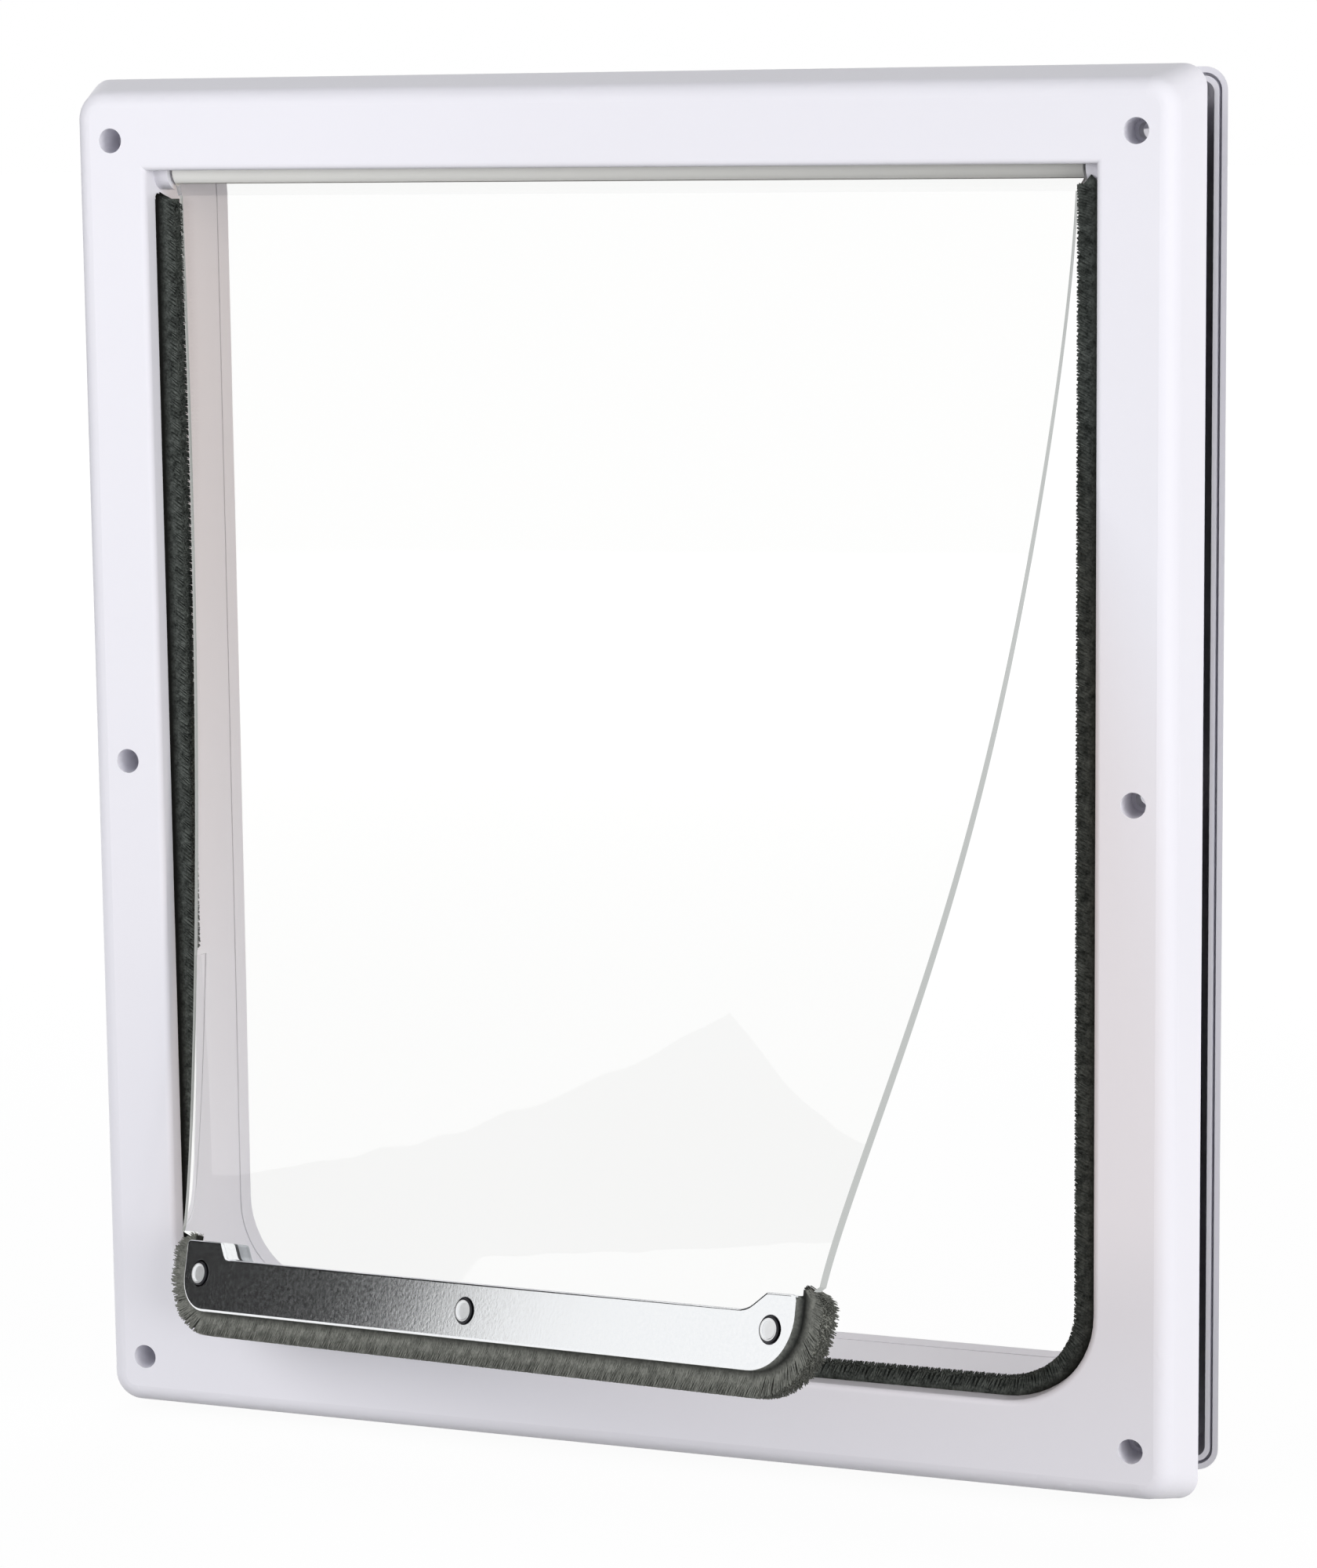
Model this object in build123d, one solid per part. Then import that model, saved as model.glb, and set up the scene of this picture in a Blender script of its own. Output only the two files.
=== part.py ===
from build123d import *
from math import cos, radians, sin
import os

# Dog flap for a door: two moulded frames, a clear sheet hung on a rod, a steel bar on its lower edge.
# X runs to the right, Y to the rear, Z up, in millimetres. Y = 0 is the face of the door under the
# front frame, and X = Z = 0 is the centre of the six screw holes.

# Front frame, its outer walls flaring from the face to the rim on the door
FRAME_W = 298.6
FRAME_H = 356.0
FRAME_D = 16.0
FLARE = 3.9
FRAME_CORNER_R = 8.0
RIM_CORNER_R = 6.0
EDGE_R = 5.0
LIP_R = 1.5
WALL = 2.5
FACE_T = 3.0

# Passage through both frames
STILE_W = 19.8
SILL_RAIL = 22.4
HEAD_RAIL = 20.2
HEAD_POCKET = 4.4
OPEN_HALF = FRAME_W / 2 - STILE_W
OPEN_BOTTOM = SILL_RAIL - FRAME_H / 2
OPEN_TOP = FRAME_H / 2 - HEAD_RAIL
TUNNEL_TOP = OPEN_TOP + HEAD_POCKET
OPEN_CORNER_R = 24.0
DOOR_GAP = 24.0
COLLAR_T = 2.2
COLLAR_PAST = 3.0
COLLAR_END = DOOR_GAP + COLLAR_PAST
JOINT_GAP = 0.6

# Rear frame, its outer walls drawing in from the rim to the back
REAR_OVER = 3.3
REAR_W = FRAME_W + 2 * REAR_OVER
REAR_H = FRAME_H + 2 * REAR_OVER
RIM_Y = DOOR_GAP
REAR_D = 11.0
REAR_Y = RIM_Y + REAR_D
REAR_DRAW = 2.7
REAR_CORNER_R = 6.0
BACK_CORNER_R = 8.0
REAR_WALL = 3.5
GROOVE_IN = 1.5
GROOVE_W = 0.8
GROOVE_D = 3.0
SLEEVE_T = 1.6
SLEEVE_L = 18.0
SLEEVE_START = RIM_Y - SLEEVE_L

# Screw holes
SCREW_IN = 9.8
SCREW_DOWN = 12.3
SCREW_X = FRAME_W / 2 - SCREW_IN
SCREW_Z = FRAME_H / 2 - SCREW_DOWN
HEAD_R = 3.25
HEAD_D = 11.0
SCREW_R = 2.25
TOWER_R = 5.0
PILOT_R = 1.5
REAR_TOWER_R = 4.5

# Hinge
AXIS_DEEP = 10.0
AXIS_Y = AXIS_DEEP - FRAME_D
AXIS_DROP = 0.1
AXIS_Z = OPEN_TOP - AXIS_DROP
ROD_R = 1.5
ROD_SHORT = 0.5
ROD_HALF = OPEN_HALF - ROD_SHORT
LUG_W = 4.0
LUG_IN = OPEN_HALF - LUG_W
LUG_R = 5.0
RUN = 0.05
END_PLAY = 1.0
HEM_R = 3.2
HEM_HALF = LUG_IN - END_PLAY
HEM_END = 2.4

# Pile strip in the frame
PILE_DEEP = 4.85
PILE_T = 4.95
PILE_Y0 = PILE_DEEP - FRAME_D
PILE_Y1 = PILE_Y0 + PILE_T
PILE_SIDE = 5.6
PILE_SILL = 4.1
PILE_ROUND = 5.0
PILE_BELOW_AXIS = 5.4
PILE_SLANT = 3.3
PILE_TIP_X = OPEN_HALF - PILE_SIDE
PILE_TIP_Z = OPEN_BOTTOM + PILE_SILL
PILE_TIP_R = OPEN_CORNER_R - PILE_ROUND
PILE_TOP_WALL = AXIS_Z - PILE_BELOW_AXIS
PILE_TOP_TIP = PILE_TOP_WALL - PILE_SLANT

# Sheet, in the bowed and twisted rest position
SHEET_T = 2.2
SHEET_IN = 2.5
SHEET_TAPER = 4.5
SHEET_TOP_HALF = HEM_HALF - SHEET_IN
SHEET_LOW_HALF = SHEET_TOP_HALF - SHEET_TAPER
BAR_ABOVE_SILL = 19.22
HANG = AXIS_Z - PILE_TIP_Z - BAR_ABOVE_SILL
HANG_DEG = 15.963
LEAVE_DEG = -1.0
LEFT_PULL = (1.66 * HANG, 0.05 * HANG)
RIGHT_PULL = (1.085 * HANG, 0.4 * HANG)
SECTIONS = 9
WELD_L = 6.6
WELD_T = 3.6

# Bar on the sheet's lower edge
BAR_SHIFT = -12.9
BAR_CENTRE = Vector(
    BAR_SHIFT, AXIS_Y - HANG * sin(radians(HANG_DEG)), AXIS_Z - HANG * cos(radians(HANG_DEG)))
BAR_ALONG = Vector(0.9039, -0.4124, 0.1136).normalized()
BAR_UP = Vector(0.0115, 0.2889, 0.9573).normalized()
PLATE_IN = 4.5
PLATE_HALF = SHEET_LOW_HALF - PLATE_IN
PLATE_LOW = -10.0
PLATE_HIGH = 4.3
EAR_HIGH = 8.7
LEFT_EAR_W = 14.8
LEFT_SLOPE_W = 2.6
RIGHT_EAR_W = 9.4
RIGHT_SLOPE_W = 6.2
LEFT_STEP_R = 2.4
RIGHT_STEP_R = 8.0
EAR_R = 1.3
LEFT_CORNER_R = 9.0
RIGHT_CORNER_R = 14.0
PLATE_T = 0.8
PLATE_D = 4.2
FOLD_R = 0.7
SHEET_END = 10.9
BAR_PILE_OVER = 2.0
BAR_PILE_HALF = SHEET_LOW_HALF + BAR_PILE_OVER
BAR_PILE_LOW = -14.2
BAR_PILE_PAST_R = 6.0
BAR_PILE_TOP_R = 3.5
BAR_PILE_T = 4.4

# Rivets
RIVET_IN = 7.0
RIVET_U = PLATE_HALF - RIVET_IN
MIDDLE_V = -2.8
RIVETS = {"rivet_left": (-RIVET_U, 0.0), "rivet_middle": (0.0, MIDDLE_V), "rivet_right": (RIVET_U, 0.0)}
RIVET_HEAD_R = 3.1
RIVET_HEAD_T = 0.7
RIVET_ROUND = 0.3
RIVET_R = 2.2
RIVET_DISH_R = 2.1
RIVET_DISH_D = 0.45


def prism(sketch, y0, y1):
    """Stand a sketch drawn in X and Z upright and fill it from y0 to y1."""
    upright = Plane(origin=(0, y1, 0), x_dir=(1, 0, 0), z_dir=(0, -1, 0))
    return extrude(upright * sketch, amount=y1 - y0)


def tapered(near, y0, far, y1):
    """Join two rounded rectangles, each a width, height and corner, by flat walls from y0 to y1."""
    outlines = []
    for size, y in ((near, y0), (far, y1)):
        upright = Plane(origin=(0, y, 0), x_dir=(1, 0, 0), z_dir=(0, -1, 0))
        outlines.append(upright * RectangleRounded(*size))
    return loft(outlines, ruled=True)


def inset(size, by):
    return size[0] - 2 * by, size[1] - 2 * by, size[2] - by


def passage(grow, top=TUNNEL_TOP):
    """The opening's outline, square above and round below, grown by a wall."""
    low = OPEN_BOTTOM - grow
    high = top + grow
    shape = Pos(0, (low + high) / 2) * Rectangle(2 * (OPEN_HALF + grow), high - low)
    return fillet(shape.vertices().group_by(Axis.Y)[0], OPEN_CORNER_R + grow)


def rounded_low(half, low, high, left_r, right_r):
    shape = Pos(0, (low + high) / 2) * Rectangle(2 * half, high - low)
    shape = fillet(shape.vertices().group_by(Axis.Y)[0].sort_by(Axis.X)[0], left_r)
    return fillet(shape.vertices().group_by(Axis.Y)[0].sort_by(Axis.X)[-1], right_r)


def pin(x, z, radius, y0, y1):
    upright = Plane(origin=(x, y1, z), x_dir=(1, 0, 0), z_dir=(0, -1, 0))
    return extrude(upright * Circle(radius), amount=y1 - y0)


def cross_pin(radius, x0, x1, y=AXIS_Y, z=AXIS_Z):
    side = Plane(origin=(x0, y, z), x_dir=(0, 1, 0), z_dir=(1, 0, 0))
    return extrude(side * Circle(radius), amount=x1 - x0)


def soften(block, y, outer_r, inner_r):
    """Round the outer and inner edges of the face at y."""
    def outside(edge):
        c = edge.center()
        return (abs(c.X) > OPEN_HALF + STILE_W / 2 or c.Z > TUNNEL_TOP + HEAD_RAIL / 3
                or c.Z < OPEN_BOTTOM - SILL_RAIL / 2)
    on_face = [e for e in block.edges() if abs(e.center().Y - y) < 0.01]
    block = fillet([e for e in on_face if outside(e)], outer_r)
    on_face = [e for e in block.edges() if abs(e.center().Y - y) < 0.01]
    return fillet([e for e in on_face if not outside(e)], inner_r)


SCREW_SPOTS = [(sx * SCREW_X, sz * SCREW_Z) for sx in (-1, 1) for sz in (-1, 0, 1)]

# Front frame: a shallow moulding, hollow from the rear, with its tunnel collar
face_size = (FRAME_W, FRAME_H, FRAME_CORNER_R)
rim_size = (FRAME_W + 2 * FLARE, FRAME_H + 2 * FLARE, RIM_CORNER_R)
front = tapered(face_size, -FRAME_D, rim_size, 0)
front -= prism(passage(0, OPEN_TOP), -FRAME_D - 1, 1)
front = soften(front, -FRAME_D, EDGE_R, LIP_R)
at_floor = inset(face_size, WALL - FLARE * FACE_T / FRAME_D)
past_rim = inset(rim_size, WALL - FLARE / FRAME_D)
hollow = tapered(at_floor, FACE_T - FRAME_D, past_rim, 1)
front -= fillet(hollow.edges().group_by(Axis.Y)[0], EDGE_R - WALL)
front += prism(passage(COLLAR_T), -FRAME_D + LIP_R + 0.1, COLLAR_END)
front -= prism(passage(0), FACE_T - FRAME_D, COLLAR_END + 1)
front -= prism(passage(0, OPEN_TOP), -FRAME_D + LIP_R, 0)
for x, z in SCREW_SPOTS:
    front += pin(x, z, TOWER_R, 1 - FRAME_D, 0)
for x, z in SCREW_SPOTS:
    front -= pin(x, z, HEAD_R, -FRAME_D - 1, HEAD_D - FRAME_D)
    front -= pin(x, z, SCREW_R, -FRAME_D, 1)
for side in (-1, 1):
    lug_x = side * (LUG_IN + OPEN_HALF + 1) / 2
    lug_w = OPEN_HALF + 1 - LUG_IN
    front += cross_pin(LUG_R, lug_x - lug_w / 2, lug_x + lug_w / 2)
    front += Pos(lug_x, AXIS_Y, (AXIS_Z + TUNNEL_TOP + 1) / 2) * Box(
        lug_w, 2 * LUG_R, TUNNEL_TOP + 1 - AXIS_Z)
front -= cross_pin(ROD_R, -ROD_HALF, ROD_HALF)

# Rear frame: a shallower moulding, its rim grooved, with a sleeve over the collar
rear_size = (REAR_W, REAR_H, REAR_CORNER_R)
back_size = (REAR_W - 2 * REAR_DRAW, REAR_H - 2 * REAR_DRAW, BACK_CORNER_R)
rear = tapered(rear_size, RIM_Y, back_size, REAR_Y)
rear -= prism(passage(0), RIM_Y - 1, REAR_Y + 1)
rear = soften(rear, REAR_Y, EDGE_R, LIP_R)
before_rim = inset(rear_size, REAR_WALL - REAR_DRAW / REAR_D)
at_floor = inset(back_size, REAR_WALL - REAR_DRAW * FACE_T / REAR_D)
rear -= tapered(before_rim, RIM_Y - 1, at_floor, REAR_Y - FACE_T)
rear += prism(passage(COLLAR_T + SLEEVE_T) - passage(COLLAR_T), SLEEVE_START, REAR_Y - FACE_T + 1)
rear += prism(passage(COLLAR_T + SLEEVE_T) - passage(0), COLLAR_END + JOINT_GAP, REAR_Y - LIP_R - 0.1)
for x, z in SCREW_SPOTS:
    rear += pin(x, z, REAR_TOWER_R, RIM_Y + 0.5, REAR_Y - 1)
for x, z in SCREW_SPOTS:
    rear -= pin(x, z, PILOT_R, RIM_Y, REAR_Y - FACE_T)
outer_line = RectangleRounded(*inset(rear_size, GROOVE_IN))
inner_line = RectangleRounded(*inset(rear_size, GROOVE_IN + GROOVE_W))
rear -= prism(outer_line - inner_line, RIM_Y - 1, RIM_Y + GROOVE_D)

# Hinge rod, held in the lugs
rod = cross_pin(ROD_R, -ROD_HALF, ROD_HALF)

# Pile strip round the sides and the sill, its two upper ends cut on a slant
strip = passage(0) - rounded_low(PILE_TIP_X, PILE_TIP_Z, TUNNEL_TOP + 5, PILE_TIP_R, PILE_TIP_R)
for side in (-1, 1):
    strip -= make_face(Polyline(
        (side * PILE_TIP_X * 0.99, PILE_TOP_TIP - 0.7), (side * (OPEN_HALF + 1), PILE_TOP_WALL + 0.6),
        (side * (OPEN_HALF + 1), TUNNEL_TOP + 5), (side * PILE_TIP_X * 0.99, TUNNEL_TOP + 5),
        close=True))
frame_pile = prism(strip, PILE_Y0, PILE_Y1)

# Bar: its own plane, along the bar, up the sheet and out of the front
bar_front = BAR_ALONG.cross(BAR_UP)
bar = Plane(origin=BAR_CENTRE, x_dir=BAR_ALONG, z_dir=bar_front)
STACK = 2 * PLATE_D + SHEET_T


def on_bar(sketch, n0, n1):
    """Fill a sketch drawn on the bar's plane from depth n0 up to depth n1."""
    return bar * (Pos(0, 0, n0) * extrude(sketch, amount=n1 - n0))


plate_line = make_face(Polyline(
    (-PLATE_HALF, EAR_HIGH), (LEFT_EAR_W - PLATE_HALF, EAR_HIGH),
    (LEFT_EAR_W + LEFT_SLOPE_W - PLATE_HALF, PLATE_HIGH),
    (PLATE_HALF - RIGHT_EAR_W - RIGHT_SLOPE_W, PLATE_HIGH), (PLATE_HALF - RIGHT_EAR_W, EAR_HIGH),
    (PLATE_HALF, EAR_HIGH), (PLATE_HALF, PLATE_LOW), (-PLATE_HALF, PLATE_LOW),
    close=True))
plate_line = fillet(plate_line.vertices().group_by(Axis.Y)[0].sort_by(Axis.X)[0], LEFT_CORNER_R)
plate_line = fillet(plate_line.vertices().group_by(Axis.Y)[0].sort_by(Axis.X)[-1], RIGHT_CORNER_R)
for side, step_r in ((-1, LEFT_STEP_R), (1, RIGHT_STEP_R)):
    steps = [v for v in plate_line.vertices() if abs(v.Y - PLATE_HIGH) < 0.01 and v.X * side > PLATE_HALF / 2]
    plate_line = fillet(max(steps, key=lambda v: v.X * side), step_r)
tips = [v for v in plate_line.vertices() if abs(v.Y - EAR_HIGH) < 0.01]
plate_line = fillet(tips, EAR_R)
plate = extrude(plate_line, amount=-PLATE_D)
plate -= Pos(0, 0, -PLATE_T) * extrude(offset(plate_line, -PLATE_T), amount=-PLATE_D)
plate = fillet(plate.edges().group_by(Axis.Z)[-1], FOLD_R)
for u, v in RIVETS.values():
    plate -= Pos(u, v, -PLATE_T / 2) * Cylinder(RIVET_R, 2 * PLATE_T)
front_plate = bar * plate
rear_plate = bar * (Pos(0, 0, -STACK) * mirror(plate, Plane.XY))

pile_line = rounded_low(BAR_PILE_HALF, BAR_PILE_LOW, SHEET_END,
                        LEFT_CORNER_R + BAR_PILE_PAST_R, RIGHT_CORNER_R + BAR_PILE_PAST_R)
pile_line = fillet(pile_line.vertices().group_by(Axis.Y)[-1], BAR_PILE_TOP_R)
pile_line -= rounded_low(PLATE_HALF, PLATE_LOW, SHEET_END + 5, LEFT_CORNER_R, RIGHT_CORNER_R)
bar_pile = on_bar(pile_line, -STACK / 2 - BAR_PILE_T / 2, -STACK / 2 + BAR_PILE_T / 2)

rivets = {}
for name, (u, v) in RIVETS.items():
    rivet = Pos(u, v, RIVET_HEAD_T / 2) * Cylinder(RIVET_HEAD_R, RIVET_HEAD_T)
    rivet += Pos(u, v, -STACK / 2) * Cylinder(RIVET_R, STACK)
    rivet += Pos(u, v, -STACK - RIVET_HEAD_T / 2) * Cylinder(RIVET_HEAD_R, RIVET_HEAD_T)
    for level in (RIVET_HEAD_T, -STACK - RIVET_HEAD_T):
        rivet -= Pos(u, v, level) * Cylinder(RIVET_DISH_R, 2 * RIVET_DISH_D)
    ends = rivet.edges().group_by(Axis.Z)
    rivet = fillet(ends[0] + ends[-1], RIVET_ROUND)
    rivets[name] = bar * rivet

# Sheet: straight rulings from the left edge's curve to the right edge's curve
leave = Vector(0, -sin(radians(LEAVE_DEG)), -cos(radians(LEAVE_DEG)))
sheet_end = BAR_CENTRE + BAR_UP * SHEET_END - bar_front * (STACK / 2)


def edge_at(side, pull, s):
    """Point and direction on one edge of the sheet, from the rod (s = 0) to the bar (s = 1)."""
    top = Vector(side * SHEET_TOP_HALF, AXIS_Y, AXIS_Z)
    low = sheet_end + BAR_ALONG * (side * SHEET_LOW_HALF)
    out = leave * pull[0]
    into = BAR_UP * -pull[1]
    point = (top * (2 * s**3 - 3 * s**2 + 1) + out * (s**3 - 2 * s**2 + s)
             + low * (3 * s**2 - 2 * s**3) + into * (s**3 - s**2))
    heading = (top * (6 * s**2 - 6 * s) + out * (3 * s**2 - 4 * s + 1)
               + low * (6 * s - 6 * s**2) + into * (3 * s**2 - 2 * s))
    return point, heading.normalized()


outlines = []
for i in range(SECTIONS):
    s = i / (SECTIONS - 1)
    left, left_heading = edge_at(-1, LEFT_PULL, s)
    right, right_heading = edge_at(1, RIGHT_PULL, s)
    across = (right - left).normalized()
    heading = left_heading + right_heading
    heading = (heading - across * heading.dot(across)).normalized()
    outlines.append(Plane(origin=(left + right) * 0.5, x_dir=across, z_dir=heading)
                    * Rectangle((right - left).length, SHEET_T))
sheet = loft(outlines)
sheet += on_bar(rounded_low(PLATE_HALF, PLATE_LOW, SHEET_END, LEFT_CORNER_R, RIGHT_CORNER_R),
                -PLATE_D - SHEET_T, -PLATE_D)
sheet += cross_pin(HEM_R, -HEM_HALF, HEM_HALF)
hem_plane = Plane(origin=(0, AXIS_Y, AXIS_Z), x_dir=(1, 0, 0),
                  z_dir=(0, -cos(radians(LEAVE_DEG)), sin(radians(LEAVE_DEG))))
weld = make_face(Polyline(
    (-HEM_HALF, 0), (HEM_HALF, 0), (HEM_HALF, -HEM_END), (SHEET_TOP_HALF, -WELD_L),
    (-SHEET_TOP_HALF, -WELD_L), (-HEM_HALF, -HEM_END), close=True))
sheet += hem_plane * (Pos(0, 0, -WELD_T / 2) * extrude(weld, amount=WELD_T))
sheet -= cross_pin(ROD_R + RUN, -HEM_HALF - 1, HEM_HALF + 1)
for u, v in RIVETS.values():
    sheet -= bar * (Pos(u, v, -STACK / 2) * Cylinder(RIVET_R, STACK))

nodes = {
    "front_frame": front,
    "rear_frame": rear,
    "hinge_rod": rod,
    "frame_pile_seal": frame_pile,
    "flap_sheet": sheet,
    "bar_front_plate": front_plate,
    "bar_rear_plate": rear_plate,
    "bar_pile_seal": bar_pile,
    **rivets,
}
os.makedirs("parts", exist_ok=True)
for name, shape in nodes.items():
    export_step(shape, f"parts/{name}.step")
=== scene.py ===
import bpy
import math
import random
from mathutils import Matrix, Vector


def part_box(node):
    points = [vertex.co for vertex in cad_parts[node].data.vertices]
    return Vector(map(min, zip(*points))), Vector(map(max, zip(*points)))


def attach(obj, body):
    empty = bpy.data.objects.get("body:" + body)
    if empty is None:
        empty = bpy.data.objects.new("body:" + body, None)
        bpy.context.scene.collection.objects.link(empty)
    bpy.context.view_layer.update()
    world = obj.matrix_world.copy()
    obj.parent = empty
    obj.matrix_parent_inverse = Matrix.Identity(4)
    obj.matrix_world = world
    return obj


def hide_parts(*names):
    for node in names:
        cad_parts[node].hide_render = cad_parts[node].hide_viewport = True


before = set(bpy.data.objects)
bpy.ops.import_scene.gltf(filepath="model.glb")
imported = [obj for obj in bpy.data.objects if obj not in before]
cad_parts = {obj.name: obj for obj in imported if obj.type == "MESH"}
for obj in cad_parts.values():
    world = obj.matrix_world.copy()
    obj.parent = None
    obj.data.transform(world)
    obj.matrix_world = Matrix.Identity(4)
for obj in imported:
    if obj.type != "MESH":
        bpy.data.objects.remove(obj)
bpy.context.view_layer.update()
bpy.ops.object.select_all(action="DESELECT")

# Front and rear frames: two mouldings of white ABS that clamp the door between them.
# The mould leaves a fine satin grain on every face, and the tone drifts a little over a large moulding.
MOULD_GRAIN = 2600.0
MOULD_DRIFT = 9.0
WHITE_SHADE = (0.845, 0.838, 0.895, 1.0)
WHITE_LIGHT = (0.885, 0.876, 0.938, 1.0)


def set_values(node, values):
    """Sets a node's sockets, named with _ for a space, or else its own settings."""
    for key, value in values.items():
        label = key.replace("_", " ")
        if label in node.inputs:
            node.inputs[label].default_value = value
        else:
            setattr(node, key, value)


def add_node(tree, kind, **values):
    made = tree.nodes.new(kind)
    set_values(made, values)
    return made


def new_material(name, **values):
    """A material with its node tree and its Principled shader."""
    mat = bpy.data.materials.new(name)
    mat.use_nodes = True
    shader = mat.node_tree.nodes["Principled BSDF"]
    set_values(shader, values)
    return mat, mat.node_tree, shader


def make_grain_group():
    """Fine moulded or drawn grain: a height, and a slow drift of tone across the piece."""
    group = bpy.data.node_groups.new("surface_grain", "ShaderNodeTree")
    for label in ("Fine", "Slow"):
        group.interface.new_socket(label, in_out="INPUT", socket_type="NodeSocketFloat")
    for label in ("Height", "Drift"):
        group.interface.new_socket(label, in_out="OUTPUT", socket_type="NodeSocketFloat")
    into = group.nodes.new("NodeGroupInput")
    out = group.nodes.new("NodeGroupOutput")
    place = group.nodes.new("ShaderNodeTexCoord")
    for scale, result, detail, roughness in (("Fine", "Height", 3.0, 0.6), ("Slow", "Drift", 2.0, 0.5)):
        noise = add_node(group, "ShaderNodeTexNoise", Detail=detail, Roughness=roughness)
        group.links.new(place.outputs["Object"], noise.inputs["Vector"])
        group.links.new(into.outputs[scale], noise.inputs["Scale"])
        group.links.new(noise.outputs["Fac"], out.inputs[result])
    return group


surface_grain = make_grain_group()


def add_grain(tree, fine, slow):
    return add_node(tree, "ShaderNodeGroup", node_tree=surface_grain, Fine=fine, Slow=slow)


def add_range(tree, source, start=0.0, stop=1.0, low=0.0, high=1.0):
    """A value that goes from low to high as the source goes from start to stop."""
    made = add_node(tree, "ShaderNodeMapRange", From_Min=start, From_Max=stop, To_Min=low, To_Max=high)
    tree.links.new(source, made.inputs["Value"])
    return made.outputs["Result"]


def link_tones(tree, source, target, dark, light):
    """Carries a mask from 0 to 1 into a socket as a colour from dark to light."""
    tone = add_node(tree, "ShaderNodeMix", data_type="RGBA", A=dark, B=light)
    tree.links.new(source, tone.inputs["Factor"])
    tree.links.new(tone.outputs["Result"], target)


def link_bump(tree, height, shader, strength, distance):
    """Makes the surface a little uneven."""
    bump = add_node(tree, "ShaderNodeBump", Strength=strength, Distance=distance)
    tree.links.new(height, bump.inputs["Height"])
    tree.links.new(bump.outputs["Normal"], shader.inputs["Normal"])


def coat(names, mat):
    """Gives solids of the frame their material."""
    for name in names:
        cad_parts[name].material_slots[0].material = mat


satin_white, tree, shader = new_material("satin_white_abs")
grain = add_grain(tree, MOULD_GRAIN, MOULD_DRIFT)
link_tones(tree, grain.outputs["Drift"], shader.inputs["Base Color"], WHITE_SHADE, WHITE_LIGHT)
satin = add_range(tree, grain.outputs["Height"], low=0.30, high=0.42)
tree.links.new(satin, shader.inputs["Roughness"])
link_bump(tree, grain.outputs["Height"], shader, strength=0.06, distance=0.0002)
coat(("front_frame", "rear_frame"), satin_white)

# Hinge rod: plain drawn steel wire, held in the two lugs under the head of the frame.
# Drawing leaves it dull, with a slow change of tone along its length.
ROD_GRAIN = 3000.0
ROD_DRIFT = 14.0
ROD_SHADE = (0.34, 0.34, 0.33, 1.0)
ROD_LIGHT = (0.48, 0.48, 0.46, 1.0)
rod_steel, tree, shader = new_material("drawn_rod_steel", Metallic=1.0, Roughness=0.42)
grain = add_grain(tree, ROD_GRAIN, ROD_DRIFT)
link_tones(tree, grain.outputs["Drift"], shader.inputs["Base Color"], ROD_SHADE, ROD_LIGHT)
coat(("hinge_rod",), rod_steel)

# Frame pile: a brush strip of dark cut pile glued round the sides and the sill of the passage.
# Its fibres stand on a woven backing against the wall, point into the opening and lean along the strip.
PASSAGE_HALF = {-1: 0.1295, 1: 0.1295}
STRIP_SILL = -0.1573
STRIP_TOP = {-1: 0.1503, 1: 0.1552}
STRIP_ROUND = {-1: 0.0257, 1: 0.0257}
STRIP_MID_Y = -0.008675
STRIP_WIDTH = 0.0041
SIDE_FIBRE = 0.0062
TUFT_BLOCK = 0.006
LEAN_SPREAD = 8.0
TUFT_HEIGHTS = (0.965, 1.0)
SPLAY_FAN = 14.0
SPLAY_SPREAD = 9.0
TUFT_WIDTHS = (0.8, 1.3)
TUFT_TIP = 0.45
PLACE_ALONG = (0.1, 0.9)
PLACE_ACROSS = (0.25, 0.75)
BACKING_WIDTH = 0.86
END_REACH = 0.012
END_PEAK_X = 0.1268
END_FALL_TIP = 0.0042
END_FALL_WALL = 0.0034
CLUMP_GRAIN = 1700.0
CLUMP_DRIFT = 480.0
NEAR = 1e-6


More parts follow.
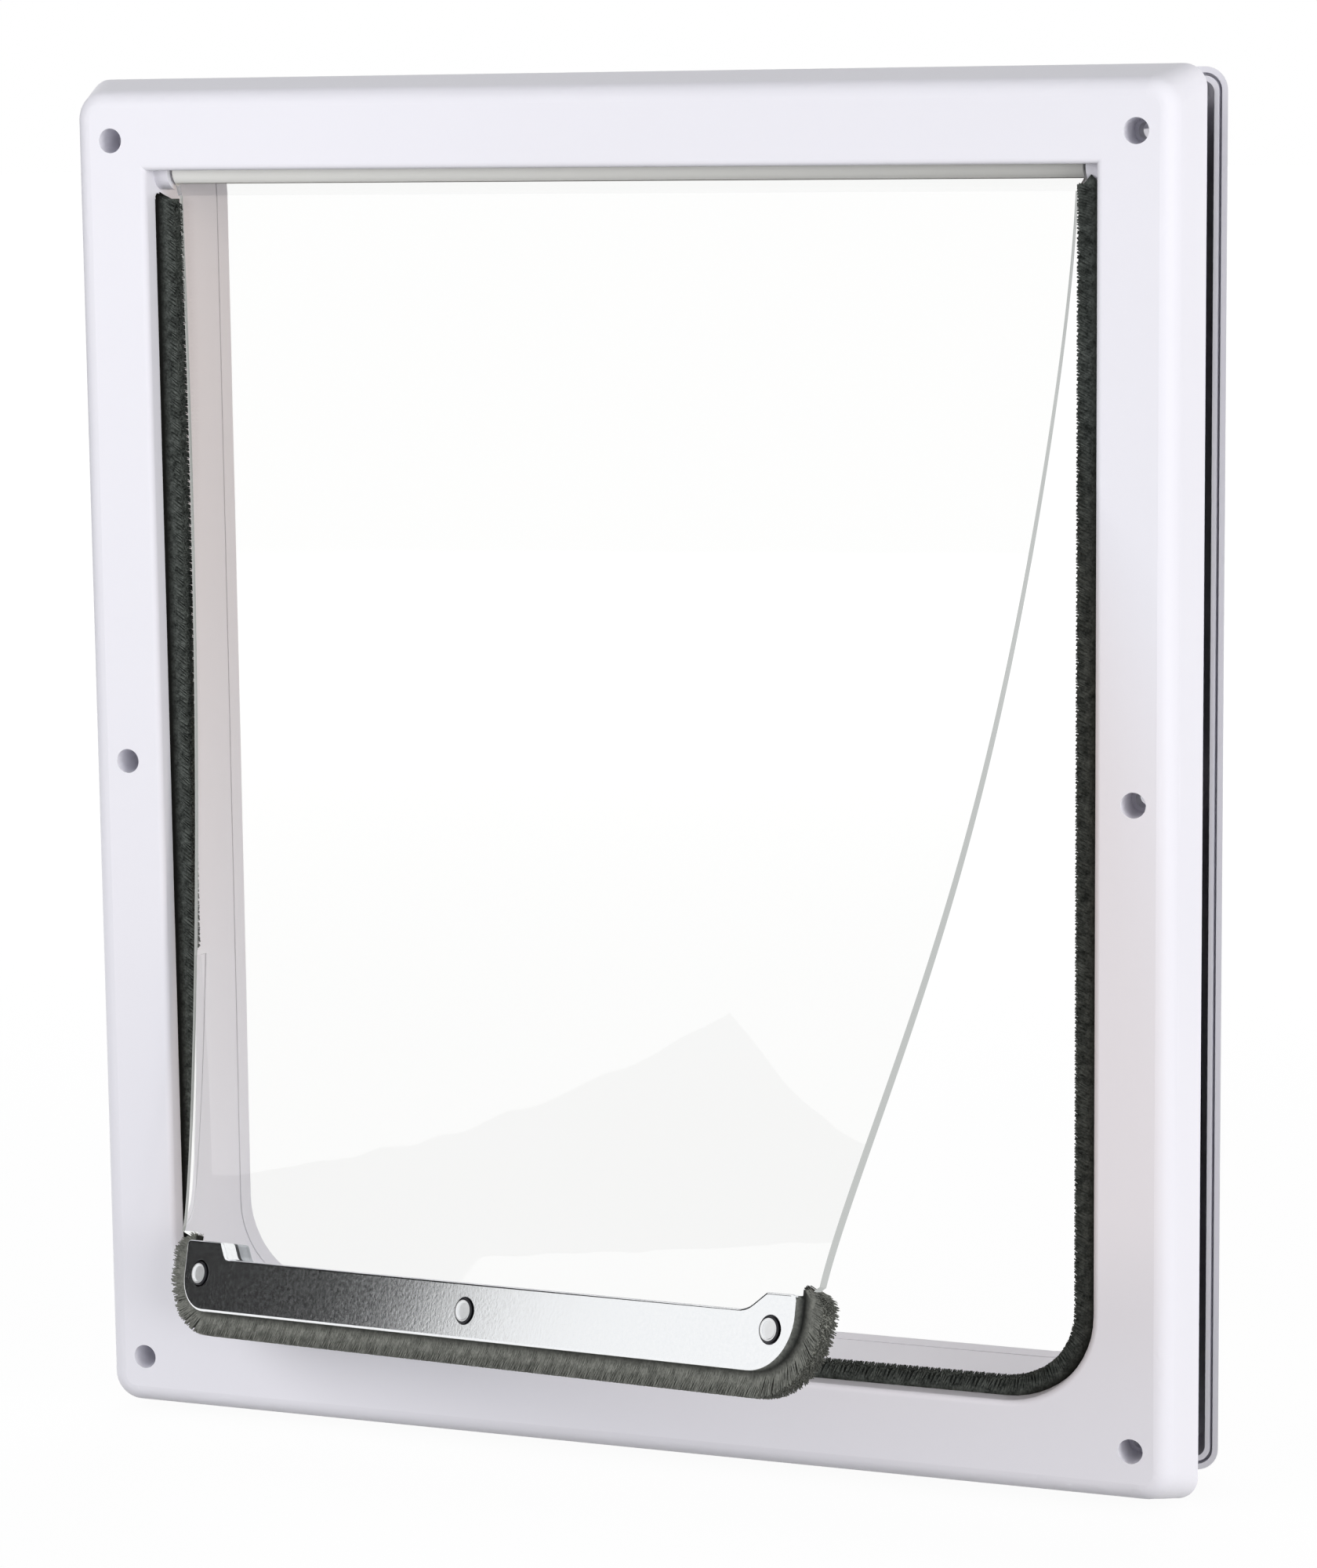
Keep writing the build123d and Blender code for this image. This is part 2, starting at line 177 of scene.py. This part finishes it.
def u_outline(name, half, low, high, rounding, inward):
    """An open U on the XY plane as a curve, run so that its left hand points into the U or out of it."""
    bpy.ops.mesh.primitive_plane_add(size=2.0)
    line = bpy.context.object
    line.name = name
    for vertex in line.data.vertices:
        side = -1 if vertex.co.x < 0 else 1
        vertex.co = (side * half[side], high[side] if vertex.co.y > 0 else low, 0.0)
    bpy.ops.object.mode_set(mode="EDIT")
    bpy.ops.mesh.delete(type="ONLY_FACE")
    bpy.ops.mesh.select_all(action="DESELECT")
    bpy.ops.object.mode_set(mode="OBJECT")
    for edge in line.data.edges:
        edge.select = min(line.data.vertices[i].co.y for i in edge.vertices) > low + NEAR
    bpy.ops.object.mode_set(mode="EDIT")
    bpy.ops.mesh.select_mode(type="EDGE")
    bpy.ops.mesh.delete(type="EDGE")
    bpy.ops.mesh.select_mode(type="VERT")
    for side in (-1, 1):
        bpy.ops.mesh.select_all(action="DESELECT")
        bpy.ops.object.mode_set(mode="OBJECT")
        for vertex in line.data.vertices:
            vertex.select = vertex.co.y < low + NEAR and vertex.co.x * side > 0
        bpy.ops.object.mode_set(mode="EDIT")
        bpy.ops.mesh.bevel(offset=rounding[side], segments=16, affect="VERTICES")
    bpy.ops.object.mode_set(mode="OBJECT")
    bpy.ops.object.convert(target="CURVE")
    line.data.dimensions = "2D"
    starts_left = line.data.splines[0].points[0].co.x < 0
    if starts_left != inward:
        bpy.ops.object.mode_set(mode="EDIT")
        bpy.ops.curve.select_all(action="SELECT")
        bpy.ops.curve.switch_direction()
        bpy.ops.object.mode_set(mode="OBJECT")
    return line


def select_only(piece):
    bpy.ops.object.select_all(action="DESELECT")
    piece.select_set(True)
    bpy.context.view_layer.objects.active = piece


def edit_faces(piece, wanted):
    """Opens the active piece in edit mode with only the wanted faces selected."""
    bpy.ops.object.mode_set(mode="EDIT")
    bpy.ops.mesh.select_mode(type="FACE")
    bpy.ops.mesh.select_all(action="DESELECT")
    bpy.ops.object.mode_set(mode="OBJECT")
    for face in piece.data.polygons:
        face.select = wanted(face)
    bpy.ops.object.mode_set(mode="EDIT")


def add_modifier(piece, name, kind, **values):
    made = piece.modifiers.new(name, kind)
    for key, value in values.items():
        setattr(made, key, value)


def tuft_block(name, length, width, fibre, rows, columns, thick, lean, core, seed):
    """A short block of pile: leaning tufts in loose rows over a backing, with their height kept."""
    draw = random.Random(seed)
    bpy.ops.object.select_all(action="DESELECT")
    tufts = []
    for i in range(columns):
        for j in range(rows):
            tilt = math.radians(lean + draw.uniform(-LEAN_SPREAD, LEAN_SPREAD))
            tall = fibre * draw.uniform(*TUFT_HEIGHTS) / math.cos(tilt)
            splay = SPLAY_FAN * (2.0 * (j + 0.5) / rows - 1.0) + draw.uniform(-SPLAY_SPREAD, SPLAY_SPREAD)
            bpy.ops.mesh.primitive_cone_add(
                vertices=3, radius1=thick, radius2=TUFT_TIP * thick, depth=tall, end_fill_type="NGON")
            tuft = bpy.context.object
            tuft.scale = (draw.uniform(*TUFT_WIDTHS), draw.uniform(*TUFT_WIDTHS), 1.0)
            tuft.rotation_euler = (math.radians(splay) - math.pi / 2, 0.0, -tilt)
            tuft.location = (
                (i + draw.uniform(*PLACE_ALONG)) * length / columns,
                tall * math.cos(tilt) / 2,
                width * ((j + draw.uniform(*PLACE_ACROSS)) / rows - 0.5))
            tufts.append(tuft)
    bpy.ops.mesh.primitive_cube_add(size=1.0, location=(length / 2, core * fibre / 2, 0.0))
    backing = bpy.context.object
    backing.scale = (length, core * fibre, BACKING_WIDTH * width)
    bpy.ops.object.transform_apply(location=True, rotation=True, scale=True)
    bpy.ops.object.mode_set(mode="EDIT")
    bpy.ops.mesh.subdivide(number_cuts=1)
    edit_faces(backing, lambda face: abs(face.normal.x) > 0.9)
    bpy.ops.mesh.delete(type="FACE")
    bpy.ops.object.mode_set(mode="OBJECT")
    for tuft in tufts:
        tuft.select_set(True)
    backing.select_set(True)
    bpy.context.view_layer.objects.active = backing
    bpy.ops.object.join()
    bpy.ops.object.transform_apply(location=True, rotation=True, scale=True)
    height = backing.data.attributes.new("fibre_height", "FLOAT", "POINT")
    for vertex in backing.data.vertices:
        height.data[vertex.index].value = vertex.co.y / fibre
    backing.name = name
    return backing


def pile_strip(name, line, **tufts):
    """Repeats a block of tufts and bends the run along the line."""
    run = line.data.splines[0].calc_length()
    count = round(run / TUFT_BLOCK)
    strip = tuft_block(name, run / count, **tufts)
    add_modifier(strip, "repeat", "ARRAY", use_relative_offset=False, use_constant_offset=True,
                 constant_offset_displace=(run / count, 0.0, 0.0), count=count,
                 use_merge_vertices=True, merge_threshold=0.00001)
    add_modifier(strip, "follow", "CURVE", object=line, deform_axis="POS_X")
    select_only(strip)
    bpy.ops.object.modifier_apply(modifier="repeat")
    bpy.ops.object.modifier_apply(modifier="follow")
    bpy.ops.object.mode_set(mode="EDIT")
    bpy.ops.mesh.select_all(action="SELECT")
    bpy.ops.mesh.fill_holes(sides=8)
    bpy.ops.object.mode_set(mode="OBJECT")
    bpy.data.objects.remove(line)
    return strip


def set_in_place(piece, turn):
    """Puts the piece where it belongs, with its place in its mesh."""
    piece.matrix_world = turn
    select_only(piece)
    bpy.ops.object.transform_apply(location=True, rotation=True, scale=True)


def way_along(value, start, stop):
    """How far a value has come from start to stop, from 0 to 1."""
    return max(0.0, min(1.0, (value - start) / (stop - start)))


def add_math(tree, operation, *terms, kind="ShaderNodeMath", gives="Value"):
    """One step of arithmetic on sockets and plain values."""
    made = add_node(tree, kind, operation=operation)
    for into, term in zip(made.inputs, terms):
        if isinstance(term, bpy.types.NodeSocket):
            tree.links.new(term, into)
        else:
            into.default_value = term
    return made.outputs[gives]


def pile_material(name, root, deep, pale, sheen):
    """Fibres mottled along the strip and darkest at their roots."""
    mat, tree, shader = new_material(
        name, Roughness=0.9, Specular_IOR_Level=0.2, Sheen_Weight=sheen, Sheen_Roughness=0.5)
    grain = add_grain(tree, CLUMP_GRAIN, CLUMP_DRIFT)
    mottle = add_math(tree, "ADD", grain.outputs["Height"], grain.outputs["Drift"])
    clumps = add_range(tree, mottle, start=0.72, stop=1.30)
    fibre = add_node(tree, "ShaderNodeMix", data_type="RGBA", A=root)
    link_tones(tree, clumps, fibre.inputs["B"], deep, pale)
    height = add_node(tree, "ShaderNodeAttribute", attribute_name="fibre_height")
    rise = add_range(tree, height.outputs["Fac"], start=0.12, stop=0.45)
    tree.links.new(rise, fibre.inputs["Factor"])
    tree.links.new(fibre.outputs["Result"], shader.inputs["Base Color"])
    return mat


frame_pile = pile_strip(
    "frame_pile",
    u_outline("frame_pile_line", PASSAGE_HALF, STRIP_SILL, STRIP_TOP, STRIP_ROUND, inward=True),
    width=STRIP_WIDTH, fibre=SIDE_FIBRE, rows=7, columns=18, thick=0.00036, lean=26.0, core=0.88,
    seed=11)
set_in_place(frame_pile, Matrix.Translation((0.0, STRIP_MID_Y, 0.0)) @ Matrix.Rotation(math.pi / 2, 4, "X"))
for vertex in frame_pile.data.vertices:
    near_end = way_along(vertex.co.z, STRIP_TOP[1] - END_REACH, STRIP_TOP[1])
    if vertex.co.x > 0 and near_end > 0:
        tipward = way_along(vertex.co.x, END_PEAK_X, PASSAGE_HALF[1] - SIDE_FIBRE)
        wallward = way_along(vertex.co.x, END_PEAK_X, PASSAGE_HALF[1])
        vertex.co.z -= near_end * (END_FALL_TIP * tipward + END_FALL_WALL * wallward)
frame_pile.data.materials.append(pile_material(
    "frame_pile_fibre", root=(0.004, 0.004, 0.003, 1.0), deep=(0.016, 0.019, 0.017, 1.0),
    pale=(0.125, 0.138, 0.127, 1.0), sheen=0.05))
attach(frame_pile, "frame")
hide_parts("frame_pile_seal")

# Flap sheet: clear soft PVC cut to a panel that narrows downwards, folded round the rod at its top and
# welded to itself, where it turns cloudy. It hangs with a bow and a twist, its foot clamped in the bar,
# and its cut edges glow with painted light.
ROD_AXIS = Vector((0.0, -0.006, 0.1577))
HANG = 0.28998
BAR_CENTRE = Vector((-0.0129, -0.08575, -0.12110))
BAR_ALONG = Vector((0.9039, -0.4124, 0.1136)).normalized()
BAR_UP = Vector((0.0115, 0.2889, 0.9573)).normalized()
BAR_FRONT = BAR_ALONG.cross(BAR_UP).normalized()
BAR_STACK = 0.0106
SHEET_T = 0.0022
SHEET_TOP_HALF = 0.122
SHEET_LOW_HALF = 0.1175
CLAMP_HALF = 0.1128
CLAMP_TOP = 0.0109
CLAMP_FOOT = -0.0096
CLAMP_ROUND = {-1: 0.009, 1: 0.014}
SHEET_FOOT = BAR_CENTRE + BAR_UP * CLAMP_TOP - BAR_FRONT * (BAR_STACK / 2)
LEAVE = Vector((0.0, math.sin(math.radians(1.0)), -math.cos(math.radians(1.0))))
EDGE_PULL = {-1: (1.66, 0.05), 1: (1.085, 0.40)}
EDGE_REACH = {-1: (0.002, 0.00358, -0.00217), 1: (0.00037, -0.0008, 0.00353, -0.00223, -0.00055)}
FREE_SHARE = 0.92
START = 0.006
CUT_ROUND = 0.0003
HEM_R = 0.0040
HEM_HALF = 0.1245
HEM_BORE = 0.00155
BORE_SPARE = 0.01
WELD_L = 0.0066
WELD_T = 0.0036
WELD_FACING = -0.82
WELD_REACH = 0.58
CLOUDY_DOWN = 0.95
CRISP_ANGLE = 20.0
SOFT_LEFT_OF = -0.09
SOFT_BELOW = -0.05
CLEAR, CUT, CLOUDY = range(3)


def bend_line(side, s):
    """A point on the left or right line that the sheet's bend runs between, from the rod to the bar."""
    top = ROD_AXIS + Vector((side * SHEET_TOP_HALF, 0.0, 0.0))
    low = SHEET_FOOT + BAR_ALONG * (side * SHEET_LOW_HALF)
    out = LEAVE * (EDGE_PULL[side][0] * HANG)
    into = BAR_UP * (-EDGE_PULL[side][1] * HANG)
    return (top * (2 * s**3 - 3 * s**2 + 1) + out * (s**3 - 2 * s**2 + s)
            + low * (3 * s**2 - 2 * s**3) + into * (s**3 - s**2))


def edge_reach(side, s):
    """How far the cut edge lies outside its bend line: even from top to foot, with waves of the cut."""
    top, low, *waves = EDGE_REACH[side]
    return top * (1 - s) + low * s + sum(
        wave * math.sin((i + 1) * math.pi * s) for i, wave in enumerate(waves))


def free_edges(s):
    """The two edge points of the hanging sheet, from the rod at 0 to the bar at 1."""
    left, right = bend_line(-1, s), bend_line(1, s)
    across = (right - left).normalized()
    return left - across * edge_reach(-1, s), right + across * edge_reach(1, s)


def clamped_edge(side, k):
    """A point on the edge of the clamped foot, from its top at 0 to its rounded corner at 1."""
    v = CLAMP_TOP + (CLAMP_FOOT - CLAMP_TOP) * k
    radius = CLAMP_ROUND[side]
    rise = min(v - CLAMP_FOOT, radius)
    half = CLAMP_HALF - radius + math.sqrt(max(radius**2 - (radius - rise)**2, 0.0))
    return SHEET_FOOT + BAR_UP * (v - CLAMP_TOP) + BAR_ALONG * (side * half)


def link_surface(tree, mask, plain, other, output):
    """Shows the plain shader where the mask is 0 and the other where it is 1."""
    mix = add_node(tree, "ShaderNodeMixShader")
    for into, source in zip(mix.inputs, (mask, plain.outputs[0], other.outputs[0])):
        tree.links.new(source, into)
    tree.links.new(mix.outputs[0], tree.nodes[output].inputs["Surface"])


clear_pvc, tree, shader = new_material(
    "clear_flap_pvc", Base_Color=(0.985, 0.985, 0.98, 1.0), IOR=1.49, Transmission_Weight=1.0)
grain = add_grain(tree, fine=420.0, slow=16.0)
haze = add_range(tree, grain.outputs["Drift"], low=0.0, high=0.04)
tree.links.new(haze, shader.inputs["Roughness"])
link_bump(tree, grain.outputs["Drift"], shader, strength=0.05, distance=0.004)
path = add_node(tree, "ShaderNodeLightPath")
# Lamps shine through the sheet a little dimmed and tinted warm, as painted warm light on the walls behind
# it.
pass_lamps = add_node(tree, "ShaderNodeBsdfTransparent", Color=(0.925, 0.855, 0.80, 1.0))
link_surface(tree, path.outputs["Is Shadow Ray"], shader, pass_lamps, "Material Output")
soak = add_node(tree, "ShaderNodeVolumeAbsorption", Color=(0.86, 0.89, 0.87, 1.0), Density=25.0)
tree.links.new(soak.outputs[0], tree.nodes["Material Output"].inputs["Volume"])
welded_hem, tree, shader = new_material("welded_flap_hem", Roughness=0.35)
place = add_node(tree, "ShaderNodeTexCoord")
split = add_node(tree, "ShaderNodeSeparateXYZ")
tree.links.new(place.outputs["Object"], split.inputs[0])
# The hem's cloudy white is painted darker towards the right, as painted shade under the head of the frame.
painted_shade_along_hem = add_range(tree, split.outputs["X"], start=-HEM_HALF, stop=HEM_HALF)
link_tones(tree, painted_shade_along_hem, shader.inputs["Base Color"], (0.90, 0.90, 0.87, 1.0), (0.55, 0.55, 0.53, 1.0))
# The cut edges glow with painted light, weaker where seen from inside the sheet.
painted_glow_edge, tree, shader = new_material(
    "cut_flap_edge_painted_glow", Base_Color=(0.09, 0.093, 0.091, 1.0), Roughness=0.45,
    Emission_Color=(0.97, 1.0, 0.98, 1.0))
from_inside = add_node(tree, "ShaderNodeNewGeometry")
painted_glow = add_range(tree, from_inside.outputs["Backfacing"], low=0.44, high=0.28)
tree.links.new(painted_glow, shader.inputs["Emission Strength"])
flap_materials = (clear_pvc, painted_glow_edge, welded_hem)

bpy.ops.object.select_all(action="DESELECT")
bpy.ops.mesh.primitive_grid_add(x_subdivisions=24, y_subdivisions=100, size=1.0)
clear_flap = bpy.context.object
clear_flap.name = "clear_flap"
for mat in flap_materials:
    clear_flap.data.materials.append(mat)
for vertex in clear_flap.data.vertices:
    along = 0.5 - vertex.co.y
    if along <= FREE_SHARE + NEAR:
        left, right = free_edges(START + (1.0 - START) * along / FREE_SHARE)
    else:
        k = (along - FREE_SHARE) / (1.0 - FREE_SHARE)
        left, right = clamped_edge(-1, k), clamped_edge(1, k)
    vertex.co = left.lerp(right, vertex.co.x + 0.5)

bpy.ops.mesh.primitive_cylinder_add(
    vertices=72, radius=HEM_R, depth=2 * HEM_HALF, location=ROD_AXIS, rotation=(0.0, math.pi / 2, 0.0))
hem = bpy.context.object
bpy.ops.object.transform_apply(location=True, rotation=True, scale=True)
edit_faces(hem, lambda face: face.normal.z < WELD_FACING)
bpy.ops.mesh.extrude_region_move(TRANSFORM_OT_translate={"value": (0.0, 0.0, -WELD_L)})
bpy.ops.object.mode_set(mode="OBJECT")
for vertex in hem.data.vertices:
    if vertex.select:
        side = -1 if vertex.co.x < 0 else 1
        side_y = (vertex.co.y - ROD_AXIS.y) / (HEM_R * WELD_REACH)
        vertex.co = (
            side * (SHEET_TOP_HALF + EDGE_REACH[side][0]),
            ROD_AXIS.y + max(-1.0, min(1.0, side_y)) * WELD_T / 2,
            ROD_AXIS.z - WELD_L)
for mat in flap_materials:
    hem.data.materials.append(mat)
for face in hem.data.polygons:
    face.material_index = CLOUDY if face.center.z > ROD_AXIS.z - CLOUDY_DOWN * HEM_R else CLEAR
bpy.ops.mesh.primitive_cylinder_add(
    vertices=32, radius=HEM_BORE, depth=2 * HEM_HALF + BORE_SPARE, location=ROD_AXIS,
    rotation=(0.0, math.pi / 2, 0.0))
bore = bpy.context.object

add_modifier(clear_flap, "wall", "SOLIDIFY", thickness=SHEET_T, offset=0.0, use_even_offset=True,
             material_offset_rim=CUT)
add_modifier(clear_flap, "soft_cut", "BEVEL", width=CUT_ROUND, segments=2, limit_method="ANGLE",
             angle_limit=math.radians(60), material=CUT)
add_modifier(clear_flap, "joined", "BOOLEAN", operation="UNION", object=hem)
add_modifier(clear_flap, "bored", "BOOLEAN", operation="DIFFERENCE", object=bore)
select_only(clear_flap)
for step in ("wall", "soft_cut", "joined", "bored"):
    bpy.ops.object.modifier_apply(modifier=step)
bpy.data.objects.remove(hem)
bpy.data.objects.remove(bore)
bpy.ops.object.shade_smooth_by_angle(angle=math.radians(CRISP_ANGLE))
for edge in clear_flap.data.edges:
    ends = [clear_flap.data.vertices[i].co for i in edge.vertices]
    if max(end.x for end in ends) < SOFT_LEFT_OF and max(end.z for end in ends) < SOFT_BELOW:
        edge.use_edge_sharp = False

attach(clear_flap, "flap")
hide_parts("flap_sheet")

# Bar plates and rivets: two pressed pans of zinc-plated steel, the front one bright, the rear one rougher
# and darkened by painted shade, one each side of the sheet's lower edge, pulled together by three rivets
# with dished heads.
# A line of shade is painted round each head.
RIVETS = ("rivet_left", "rivet_middle", "rivet_right")
RIVET_EDGE = 0.0031
PAINTED_SHADE_WIDTH = 0.00042
PAINTED_SHADE_DARK = (0.04, 0.04, 0.045, 1.0)
ZINC_GRAIN = 1100.0
ZINC_DRIFT = 70.0


def rivet_painted_shade(tree):
    """1 on the line of painted shade round each rivet's head and 0 elsewhere."""
    place = add_node(tree, "ShaderNodeTexCoord")
    vector = {"kind": "ShaderNodeVectorMath", "gives": "Vector"}
    nearest = None
    for name in RIVETS:
        low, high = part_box(name)
        centre = (Vector(low) + Vector(high)) / 2
        offset = add_math(tree, "SUBTRACT", place.outputs["Object"], centre, **vector)
        sideways = add_math(tree, "CROSS_PRODUCT", offset, BAR_FRONT, **vector)
        away = add_math(tree, "LENGTH", sideways, kind="ShaderNodeVectorMath")
        nearest = away if nearest is None else add_math(tree, "MINIMUM", nearest, away)
    return add_math(tree, "COMPARE", nearest, RIVET_EDGE, PAINTED_SHADE_WIDTH)


def zinc(name, dark, light, smooth, rough, dents):
    """Zinc-plated metal with a fine mottle, and the line of painted shade round the rivets."""
    mat, tree, shader = new_material(name, Metallic=1.0)
    grain = add_grain(tree, ZINC_GRAIN, ZINC_DRIFT)
    gloss = add_range(tree, grain.outputs["Height"], low=smooth, high=rough)
    tree.links.new(gloss, shader.inputs["Roughness"])
    link_bump(tree, grain.outputs["Height"], shader, strength=dents, distance=0.0003)
    tone = add_node(tree, "ShaderNodeMix", data_type="RGBA", B=PAINTED_SHADE_DARK)
    link_tones(tree, grain.outputs["Height"], tone.inputs["A"], dark, light)
    tree.links.new(rivet_painted_shade(tree), tone.inputs["Factor"])
    tree.links.new(tone.outputs["Result"], shader.inputs["Base Color"])
    return mat


coat(("bar_front_plate",), zinc(
    "bright_zinc_plate", dark=(0.84, 0.86, 0.88, 1.0), light=(0.98, 0.99, 1.0, 1.0),
    smooth=0.05, rough=0.18, dents=0.03))
# The rear plate is the same zinc, rougher, with its colour darkened as painted shade.
coat(("bar_rear_plate",), zinc(
    "dull_zinc_plate_painted_shade", dark=(0.36, 0.38, 0.41, 1.0), light=(0.50, 0.52, 0.55, 1.0),
    smooth=0.25, rough=0.40, dents=0.012))
coat(RIVETS, zinc(
    "rivet_zinc", dark=(0.84, 0.85, 0.86, 1.0), light=(0.96, 0.97, 0.98, 1.0),
    smooth=0.25, rough=0.42, dents=0.02))

# Bar pile: a paler pile strip clamped between the plates, round the foot and both ends of the bar.
# Its fibres point outwards and brush along the sill strip.
PLATE_EDGE = {-1: 0.1134, 1: 0.1122}
PLATE_ROUND = {-1: 0.0090, 1: 0.0132}
BAR_FOOT = -0.0086
BAR_PILE_TOP = {-1: 0.0100, 1: 0.0100}
BAR_STRIP_WIDTH = 0.0042
BAR_FIBRE = 0.0077
END_ROUND = 0.0045
END_LEAST = 0.05
bar_pile = pile_strip(
    "bar_pile",
    u_outline("bar_pile_line", PLATE_EDGE, BAR_FOOT, BAR_PILE_TOP, PLATE_ROUND, inward=False),
    width=BAR_STRIP_WIDTH, fibre=BAR_FIBRE, rows=11, columns=32, thick=0.00022, lean=10.0, core=0.90,
    seed=23)
for vertex in bar_pile.data.vertices:
    side = -1 if vertex.co.x < 0 else 1
    outward = side * vertex.co.x - PLATE_EDGE[side]
    over = (vertex.co.y - BAR_PILE_TOP[side] + END_ROUND) / END_ROUND
    if outward > 0 and over > 0:
        kept = math.sqrt(max(END_LEAST, 1.0 - min(over, 1.0)**2))
        vertex.co.x = side * (PLATE_EDGE[side] + outward * kept)
bar_turn = Matrix((BAR_ALONG, BAR_UP, BAR_FRONT)).transposed().to_4x4()
set_in_place(bar_pile, Matrix.Translation(BAR_CENTRE - BAR_FRONT * BAR_STACK / 2) @ bar_turn)
bar_pile.data.materials.append(pile_material(
    "bar_pile_fibre", root=(0.030, 0.031, 0.028, 1.0), deep=(0.130, 0.134, 0.120, 1.0),
    pale=(0.300, 0.305, 0.275, 1.0), sheen=0.10))
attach(bar_pile, "flap")
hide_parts("bar_pile_seal")

# Studio: a white sweep, soft lights from the upper left, the front right, the right and behind, two dark
# cards that only the bright metal mirrors, and a flag that shades the hollow behind the door gap.
FLOOR_Z = -0.1822
FLOOR_SIZE = 60.0
FLOOR_SHARE = 0.80
WHITE = (1.0, 1.0, 1.0, 1.0)
SIDEWAYS = (0.0, math.pi / 2, 0.0)
UPRIGHT = (math.pi / 2, 0.0, 0.0)


def seen_mask(tree):
    """1 for rays that the camera follows straight, through glass or off a gloss, and 0 for lighting."""
    path = add_node(tree, "ShaderNodeLightPath")
    seen = add_math(tree, "MAXIMUM", path.outputs["Is Camera Ray"], path.outputs["Is Glossy Ray"])
    seen = add_math(tree, "MAXIMUM", seen, path.outputs["Is Transmission Ray"])
    direct = add_math(tree, "LESS_THAN", path.outputs["Diffuse Depth"], 0.5)
    return add_math(tree, "MULTIPLY", seen, direct)


bpy.ops.object.select_all(action="DESELECT")
bpy.ops.mesh.primitive_plane_add(size=FLOOR_SIZE, location=(0.0, 0.0, FLOOR_Z))
floor = bpy.context.object
floor.name = "studio_floor"
floor_white, tree, shader = new_material(
    "studio_floor_white", Base_Color=(0.3, 0.3, 0.3, 1.0), Roughness=1.0, Specular_IOR_Level=0.0)
place = add_node(tree, "ShaderNodeTexCoord")
far = add_math(tree, "LENGTH", place.outputs["Object"], kind="ShaderNodeVectorMath")
white = add_node(tree, "ShaderNodeEmission", Color=WHITE)
fade = add_range(tree, far, start=0.4, stop=2.0, low=1.19, high=1.25)
tree.links.new(fade, white.inputs["Strength"])
lit_share = add_math(tree, "MULTIPLY", seen_mask(tree), FLOOR_SHARE)
link_surface(tree, lit_share, shader, white, "Material Output")
floor.data.materials.append(floor_white)

card_black = new_material("card_black", Base_Color=(0.02, 0.02, 0.02, 1.0), Roughness=1.0)[0]


def hang_card(name, wide, deep, turn, place, shades):
    """A black card that the camera does not see. One that does not shade shows only in reflections."""
    bpy.ops.mesh.primitive_plane_add(size=1.0)
    card = bpy.context.object
    card.name = name
    card.scale = (wide, deep, 1.0)
    card.rotation_euler = turn
    card.location = place
    bpy.ops.object.transform_apply(location=True, rotation=True, scale=True)
    card.data.materials.append(card_black)
    card.visible_camera = False
    card.visible_transmission = False
    card.visible_diffuse = shades
    card.visible_shadow = shades


hang_card("dark_card_left", 0.98, 1.64, SIDEWAYS, (-1.30, 0.38, 0.31), shades=False)
hang_card("dark_card_right", 0.68, 0.85, SIDEWAYS, (0.62, 0.175, 0.16), shades=False)
hang_card("gap_flag", 0.0190, 0.352, UPRIGHT, (0.1395, 0.0233, 0.0), shades=True)

world = bpy.data.worlds.new("studio_world")
bpy.context.scene.world = world
world.use_nodes = True
tree = world.node_tree
room = tree.nodes["Background"]
set_values(room, {"Color": (0.95, 0.96, 1.0, 1.0), "Strength": 0.25})
backdrop = add_node(tree, "ShaderNodeBackground", Color=WHITE, Strength=1.0)
link_surface(tree, seen_mask(tree), room, backdrop, "World Output")


def soft_light(name, place, size, watts, colour=WHITE[:3]):
    bpy.ops.object.light_add(type="AREA", location=place)
    lamp = bpy.context.object
    lamp.name = name
    lamp.data.shape = "SQUARE"
    lamp.data.size = size
    lamp.data.energy = watts
    lamp.data.color = colour
    lamp.visible_glossy = False
    lamp.visible_camera = False
    lamp.visible_transmission = False
    lamp.rotation_euler = (-Vector(place)).to_track_quat("-Z", "Y").to_euler()


soft_light("key_light", (-0.75, -0.95, 0.30), size=0.9, watts=9.3)
soft_light("fill_light", (1.20, -1.30, 0.10), size=0.6, watts=6.0)
soft_light("side_light", (1.55, -0.55, 0.10), size=0.9, watts=20.5, colour=(1.0, 0.99, 0.98))
soft_light("back_light", (-0.30, 2.20, 0.60), size=1.5, watts=30.0)

# Camera: at the photograph's place, a little above and to the right.
# Its turn and lens were fitted to the screw holes, the opening and the frame's outline.
CAMERA_PLACE = (0.41765, -1.08073, 0.16917)
YAW = 0.362644614
PITCH = 0.147348482
ROLL = -0.0112459619
LENS_PIXELS = 5693.27
IMAGE_HEIGHT = 2000
SENSOR = 36.0
ahead = Vector((-math.sin(YAW) * math.cos(PITCH), math.cos(YAW) * math.cos(PITCH), -math.sin(PITCH)))
across = Vector((math.cos(YAW), math.sin(YAW), 0.0))
upward = across.cross(ahead)
cam_x = across * math.cos(ROLL) + upward * math.sin(ROLL)
cam_y = upward * math.cos(ROLL) - across * math.sin(ROLL)
bpy.ops.object.camera_add(location=CAMERA_PLACE)
camera = bpy.context.object
camera.rotation_euler = Matrix((cam_x, cam_y, -ahead)).transposed().to_euler()
camera.data.sensor_fit = "VERTICAL"
camera.data.sensor_width = SENSOR
camera.data.sensor_height = SENSOR
camera.data.lens = LENS_PIXELS / IMAGE_HEIGHT * SENSOR
bpy.context.scene.camera = camera
bpy.context.scene.view_settings.view_transform = "Standard"
